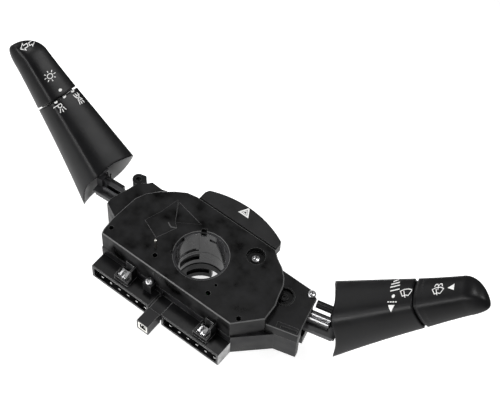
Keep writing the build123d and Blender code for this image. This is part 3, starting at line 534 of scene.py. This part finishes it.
# the upright springs are as long as their solids are high, and the leaning ones have a set length
plunger_length, washer_length = 0.0034, 0.0087
for name, node, body, joint, axis, outer, inner, turns, travel, set_length in (
        ("hazard_return_spring", "hazard_spring", "switch_body", "hazard_press",
         Vector((0, 0, 1)), 0.0034, 0.0024, 4.5, 0.0025, None),
        ("horn_pin_spring", "horn_brush_spring", "switch_body", "horn_brush_slide",
         Vector((0, 0, 1)), 0.0019, 0.0012, 4.0, 0.0020, None),
        ("wiper_plunger_spring", "wiper_detent_spring", "wiper_lever", "wiper_detent_slide",
         Vector((-cos(module_heading), -sin(module_heading), 0)),
         0.0022, 0.0015, 4.0, 0.0012, plunger_length),
        ("turn_plunger_spring", "turn_detent_spring", "turn_yoke", "turn_detent_slide",
         Vector((-cos(left_heading), -sin(left_heading), 0)),
         0.0022, 0.0015, 4.0, 0.0012, plunger_length),
        ("washer_return_spring", "washer_spring", "washer_cap", "washer_push",
         -stalk_along, 0.0030, 0.0022, 6.0, 0.0022, washer_length)):
    low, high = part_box(node)
    middle = (Vector(low) + Vector(high)) / 2
    length = set_length or high[2] - low[2]
    foot = middle - axis * length / 2
    spring = run_maker(name, coil_tree, {"Coil radius": (outer + inner) / 2,
                                         "Wire radius": (outer - inner) / 2,
                                         "Height": length, "Turns": turns, "Wire": spring_wire})
    spring.data.transform(Matrix.Translation(foot) @ axis.to_track_quat("Z", "Y").to_matrix().to_4x4())
    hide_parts(node)
    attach(spring, body)
    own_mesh(spring)


# ------------------------------------------------------------------ hazard key
# The wide push cap slides in its case behind the cover. It is moulded in satin black and pad
# printed in white with the warning triangle, a thin film that follows the surface.
key_black = moulded_plastic("key_black", (0.010, 0.010, 0.0105), roughness=0.44, grain_size=0.0003,
                            grain_depth=0.00003, edge_radius=0.0005, shine=0.20, wear_and_highlight=0.08, clouding=0.4)
dress(key_black, "hazard_button")


def pen_line(points, width, closed=False):
    """A line of even width through points, as one four-cornered patch for each run."""
    corners = [Vector(point) for point in points]
    count = len(corners)
    edges = []
    for index, corner in enumerate(corners):
        runs = []
        if closed or index:
            runs.append((corner - corners[index - 1]).normalized())
        if closed or index < count - 1:
            runs.append((corners[(index + 1) % count] - corner).normalized())
        run = sum(runs, Vector((0, 0))).normalized()
        out = Vector((-run.y, run.x))
        reach = width / 2 / max(0.5, out.dot(Vector((-runs[0].y, runs[0].x))))
        edges.append((corner - out * reach, corner + out * reach))
    last = count if closed else count - 1
    return [[edges[index][0], edges[(index + 1) % count][0], edges[(index + 1) % count][1], edges[index][1]]
            for index in range(last)]


def round_points(centre, radius, steps=16, turn=0.0):
    """Points at even steps round a centre."""
    return [(centre[0] + radius * cos(radians(turn + 360 * step / steps)),
             centre[1] + radius * sin(radians(turn + 360 * step / steps))) for step in range(steps)]


def spot(centre, radius, wedges=12):
    """A filled disc, cut in wedges."""
    rim = round_points(centre, radius, wedges)
    return [[centre, rim[index], rim[(index + 1) % wedges]] for index in range(wedges)]


# the film starts flat above its carrier, is cut fine and drops on to the surface below it
film_cuts, longest_drop, film_thickness = 3, 0.2, 0.00004
print_tree, size = new_maker("pad_print", [
    ("Film", "Geometry"), ("Carrier", "Object"), ("Way", "Vector"), ("Thickness", "Float"),
    ("Ink", "Material")])
fine_film = add_node(print_tree, "GeometryNodeSubdivideMesh", {}, {0: size["Film"], "Level": film_cuts})
carrier_shape = add_node(print_tree, "GeometryNodeObjectInfo", {}, {0: size["Carrier"]}, "Geometry")
hit = add_node(print_tree, "GeometryNodeRaycast", {},
               {0: carrier_shape, "Ray Direction": size["Way"], "Ray Length": longest_drop}, "Hit Position")
hit_node = hit.socket.node
hit_normal, is_hit = (Socket(print_tree, hit_node.outputs[label]) for label in ("Hit Normal", "Is Hit"))
spread = vector(print_tree, size["Thickness"], size["Thickness"], size["Thickness"])
film_place = add_node(print_tree, "ShaderNodeVectorMath", {"operation": "MULTIPLY_ADD"},
                      {0: hit_normal, 1: spread, 2: hit})
laid = add_node(print_tree, "GeometryNodeSetPosition", {}, {0: fine_film, "Position": film_place})
laid = add_node(print_tree, "GeometryNodeDeleteGeometry", {}, {0: laid, 1: 1 - is_hit})
finish_maker(print_tree, laid, size["Ink"])

worn_ink, fresh_ink = (0.66, 0.66, 0.65, 1.0), (0.92, 0.92, 0.91, 1.0)
dot_scale, wear_scale = 2600.0, 420.0
print_white, tree = new_material("print_white")
ink_place = object_place(tree)
ink_dots = noise(tree, ink_place, dot_scale, 2.0)
ink_wear = noise(tree, ink_place, wear_scale, 3.0)
ink = blend(tree, ink_wear, worn_ink, fresh_ink)
ink_relief = add_node(tree, "ShaderNodeBump", {}, {"Strength": 0.3, "Distance": 0.00002, "Height": ink_dots})
finish_material(tree, {"Base Color": ink, "Roughness": 0.42 + (ink_wear - 0.5) * 0.2, "Normal": ink_relief})


def pad_print(name, node, body, place_of, toward, patches):
    """Prints flat patches on a node: place_of gives the point over the surface for a drawn point."""
    corners, faces = [], []
    for patch in patches:
        points = [place_of(*point) for point in patch]
        normal = (points[1] - points[0]).cross(points[2] - points[0])
        if normal.dot(toward) > 0:
            points.reverse()
        faces.append(tuple(range(len(corners), len(corners) + len(points))))
        corners.extend(points)
    film = bpy.data.meshes.new(name)
    film.from_pydata([tuple(corner) for corner in corners], [], faces)
    made = run_maker(name, print_tree, {"Carrier": nodes[node], "Way": tuple(toward),
                                        "Thickness": film_thickness, "Ink": print_white}, film)
    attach(made, body)


# two triangles, one in the other, drawn flat above the key
sign_centre, sign_turn, over_key = (1.9, 48.3), 90.0, 20.0
warning_triangle = []
for reach, width in ((4.2, 1.1), (1.9, 0.6)):
    warning_triangle += pen_line(round_points(sign_centre, reach, 3, sign_turn), width, True)
pad_print("hazard_triangle", "hazard_button", "hazard_key",
          lambda x, y: Vector((x, y, over_key)) / 1000, Vector((0, 0, -1)), warning_triangle)


# ------------------------------------------------------------------ horn socket, boards and brush
# The two-way horn socket is ivory nylon, painted black deep in its pocket as painted shade. The boards are
# green laminate under lacquer and the upright horn contact is a plated brass pin.
# deep in the pocket the insert is painted black as painted shade
pocket_shade_face, pocket_shade_black = -0.0574, 0.012
ivory_nylon = moulded_plastic("ivory_nylon", (0.78, 0.77, 0.72), roughness=0.40, grain_size=0.0006,
                              grain_depth=0.00001, edge_radius=0.0002,
                              beyond=("Y", pocket_shade_face, pocket_shade_black, pocket_shade_black))
dress(ivory_nylon, "horn_connector_insert")
board_green = moulded_plastic("board_green", (0.03, 0.12, 0.04), roughness=0.30, grain_size=0.0015,
                              grain_depth=0.00001, edge_radius=0.0001)
dress(board_green, "main_circuit_board", "wiper_contact_board", "turn_contact_board")
pin_plate = worked_metal("pin_plate", (0.55, 0.54, 0.50), roughness=0.32, scratch_size=0.0004,
                         scratch_depth=0.000006)
dress(pin_plate, "horn_brush")


# ------------------------------------------------------------------ levers
# Each stalk is a hollow two-part skirt with an end cap, moulded in satin black, on a moulded
# arm that carries a steel channel and the duct of its wires.
stalk_root = Vector((98.6, 26.5, -16.8))
level_way = Vector((-sin(stalk_heading), cos(stalk_heading), 0))
rise_way = stalk_along.cross(level_way)
stalk_across = level_way * cos(stalk_roll) + rise_way * sin(stalk_roll)
stalk_out = stalk_along.cross(stalk_across)
lever_pivot = Vector((63.0, 14.8, 0.0))
to_left = (Matrix.Scale(-1, 4, Vector((1, 0, 0))) @ Matrix.Translation(lever_pivot)
           @ Matrix.Rotation(radians(-left_lever_turn), 4, "Z") @ Matrix.Translation(-lever_pivot))
left_out = (to_left.to_3x3() @ stalk_out).normalized()

lever_black = moulded_plastic("lever_black", (0.006, 0.006, 0.0065), roughness=0.33, grain_size=0.0003,
                              grain_depth=0.00002, edge_radius=0.0020, shine=0.17, wear_and_highlight=0.0)
dress(lever_black, "wiper_skirt_front", "turn_skirt_front", "light_twist_cap", "washer_push_cap",
      "wiper_push_collar")
# the back halves are painted pale grey on their insides as painted light
for name, node, way in (("wiper_back_black", "wiper_skirt_back", stalk_out),
                        ("turn_back_black", "turn_skirt_back", left_out)):
    back_black = moulded_plastic(name, (0.006, 0.006, 0.0065), roughness=0.33, grain_size=0.0003,
                                 grain_depth=0.00002, edge_radius=0.0004, shine=0.17, wear_and_highlight=0.0,
                                 hollow_way=way)
    dress(back_black, node)
arm_grey = moulded_plastic("arm_grey", (0.030, 0.030, 0.032), roughness=0.45, grain_size=0.0004,
                           grain_depth=0.00003, edge_radius=0.0004)
dress(arm_grey, "wiper_lever_arm", "turn_lever_arm")


# ------------------------------------------------------------------ joint ring of the light cap
# A thin black plastic ring fills most of the open joint behind the twist cap and turns with it.
# It stops a few millimetres short of the outline, so the joint shows light only at its ends.
ring_face, ring_thickness, ring_inset, ring_width = 71.05, 0.8, 3.4, 3.0
cap_foot, foot_tolerance, spindle_out = 72.0, 0.02, 3.0
to_right = to_left.inverted()
rim = []
for vertex in nodes["light_twist_cap"].data.vertices:
    over_root = to_right @ (vertex.co * 1000) - stalk_root
    if abs(over_root.dot(stalk_along) - cap_foot) < foot_tolerance:
        rim.append((round(over_root.dot(stalk_across), 3), round(over_root.dot(stalk_out), 3)))


def outer_points(points):
    """The points on the outside of a flat set, in order."""
    halves = []
    for ordered in (sorted(set(points)), sorted(set(points), reverse=True)):
        half = []
        for point in ordered:
            while len(half) > 1 and ((half[-1][0] - half[-2][0]) * (point[1] - half[-2][1])
                                     <= (half[-1][1] - half[-2][1]) * (point[0] - half[-2][0])):
                half.pop()
            half.append(point)
        halves += half[:-1]
    return halves


# the cap's outline, drawn in towards the spindle: four rounds of points, one for each edge
outline = outer_points(rim)
inner_inset, ring_back = ring_inset + ring_width, ring_face + ring_thickness
corners = []
for inset, station in ((ring_inset, ring_face), (ring_inset, ring_back),
                       (inner_inset, ring_back), (inner_inset, ring_face)):
    for across, out in outline:
        shorter = 1 - inset / Vector((across, out - spindle_out)).length
        corners.append(to_left @ (stalk_root + stalk_along * station + stalk_across * across * shorter
                                  + stalk_out * (spindle_out + (out - spindle_out) * shorter)) / 1000)
count = len(outline)
faces = [(band * count + place, band * count + (place + 1) % count,
          (band + 1) % 4 * count + (place + 1) % count, (band + 1) % 4 * count + place)
         for band in range(4) for place in range(count)]
ring_mesh = bpy.data.meshes.new("light_joint_ring")
ring_mesh.from_pydata([tuple(corner) for corner in corners], [], faces)
shape = bmesh.new()
shape.from_mesh(ring_mesh)
bmesh.ops.recalc_face_normals(shape, faces=shape.faces)
shape.to_mesh(ring_mesh)
shape.free()
ring_mesh.materials.append(lever_black)
joint_ring = add_object("light_joint_ring", ring_mesh)
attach(joint_ring, "light_knob")


# ------------------------------------------------------------------ signs on the levers
# White pad prints: wiper speeds, wiper and washer on the right stalk, turn arrows, lamp and
# beam signs and setting dots on the left one.
over_surface = 40.0


def right_stalk(along, across):
    """The point above the right stalk for millimetres along and across it."""
    return (stalk_root + stalk_along * along + stalk_across * across + stalk_out * over_surface) / 1000


def left_stalk(along, across):
    """The same above the left stalk, which is the right one's mirror image, turned."""
    return (to_left @ (right_stalk(along, across) * 1000)) / 1000


def drawn(patches, place, turn=0.0):
    """Moves a sign, drawn round its own middle with its head up, to its place on a stalk."""
    placed = []
    for patch in patches:
        points = []
        for x, y in patch:
            points.append((place[0] + x * cos(radians(turn)) - y * sin(radians(turn)),
                           place[1] + x * sin(radians(turn)) + y * cos(radians(turn))))
        placed.append(points)
    return placed


# four bars, a spot, a dashed bar and a wedge, and a windscreen with its wiper beside them
bar, fine = 0.75, 0.55
dashes, dash_step, dash_length, dash_drop = 4, 1.9, 1.3, 0.3
speed_signs = []
for first, last in (((53.4, 17.6), (57.0, 18.3)), ((52.3, 16.0), (58.5, 16.4)), ((52.2, 14.1), (59.2, 14.5)),
                    ((52.8, 11.6), (59.6, 11.9))):
    speed_signs += pen_line([first, last], bar)
speed_signs += spot((55.7, 7.8), 1.2)
for dash in range(dashes):
    start, lower = 51.7 + dash * dash_step, dash * dash_drop
    speed_signs += pen_line([(start, 4.7 - lower), (start + dash_length, 4.5 - lower)], bar)
speed_signs += [[(52.3, 2.6), (57.3, 1.8), (53.9, -2.4)]]

wiper_sign = pen_line([(-4.4, 2.0), (-1.6, 2.9), (1.6, 2.9), (4.4, 2.0), (2.2, -1.4), (0.0, -0.9),
                       (-2.2, -1.4)], fine, True)
wiper_sign += pen_line([(0.0, -2.6), (-1.9, 2.2)], fine)
speed_signs += drawn(wiper_sign, (64.8, 8.0), -3.0)
pad_print("wiper_signs", "wiper_skirt_front", "wiper_lever", right_stalk, -stalk_out, speed_signs)

# the windscreen and wiper again, with a jet that falls to both sides, and an arrowhead
washer_sign = pen_line([(-4.1, 0.2), (-1.6, 1.2), (1.6, 1.2), (4.1, 0.2), (2.1, -2.8), (0.0, -2.3),
                        (-2.1, -2.8)], fine, True)
washer_sign += pen_line([(0.0, -3.7), (-1.5, 0.4)], fine)
washer_sign += pen_line([(0.0, -0.2), (0.0, 2.0)], fine)
for side in (1, -1):
    washer_sign += pen_line([(0.0, 2.0), (side * 0.9, 3.3), (side * 2.2, 3.3), (side * 2.9, 1.7)], fine)
washer_signs = drawn(washer_sign, (88.4, 7.0), -4.0)
washer_signs += [[(95.3, 6.8), (100.0, 4.7), (100.0, 8.8)]]
pad_print("washer_signs", "washer_push_cap", "washer_cap", right_stalk, -stalk_out, washer_signs)

# turn arrows, lamp sign and pointer dot of the twist cap
cap_signs = pen_line([(115.3, -1.5), (117.9, 0.6), (116.4, 0.9), (116.4, 3.5), (114.2, 3.5), (114.2, 1.2),
                      (112.7, 1.5)], fine, True)
cap_signs += pen_line([(115.0, 8.8), (117.4, 6.5), (116.1, 6.4), (116.1, 4.7), (114.0, 4.7), (114.0, 6.4),
                       (112.7, 6.3)], fine, True)
lamp_sign = pen_line(round_points((0, 0), 1.75), fine, True)
for ray_start, ray_end in zip(round_points((0, 0), 2.7, 8), round_points((0, 0), 4.1, 8)):
    lamp_sign += pen_line([ray_start, ray_end], fine)
cap_signs += drawn(lamp_sign, (88.1, 6.3)) + spot((75.8, 7.4), 1.1)
pad_print("light_cap_signs", "light_twist_cap", "light_knob", left_stalk, -left_out, cap_signs)

# setting dots, side lamp sign and two beam signs of the skirt
skirt_signs = spot((70.4, 7.5), 1.2) + spot((70.4, 0.9), 1.2) + spot((70.4, 13.7), 1.1)
skirt_signs += pen_line([(67.4, -2.9), (67.6, 3.2), (66.1, 3.4), (65.2, 2.8), (65.0, 1.5), (66.0, 0.5),
                         (67.2, 0.8)], fine)
for first, last in (((64.4, 1.1), (61.9, -0.2)), ((63.9, 2.1), (61.3, 2.2)), ((64.6, 3.4), (61.7, 4.4)),
                    ((68.0, 12.7), (65.8, 13.3)), ((68.0, 13.9), (66.0, 14.5)), ((67.8, 15.5), (66.2, 15.6)),
                    ((61.8, 13.9), (59.2, 13.5)), ((61.1, 14.8), (59.1, 14.9)), ((61.2, 16.0), (58.9, 16.3))):
    skirt_signs += pen_line([first, last], fine)
skirt_signs += pen_line([(65.7, 13.2), (64.4, 13.9), (64.4, 15.2), (65.9, 15.8)], fine, True)
skirt_signs += pen_line([(62.2, 13.8), (63.5, 14.2), (63.6, 15.4), (61.9, 16.2)], fine, True)
pad_print("light_skirt_signs", "turn_skirt_front", "turn_lever", left_stalk, -left_out, skirt_signs)
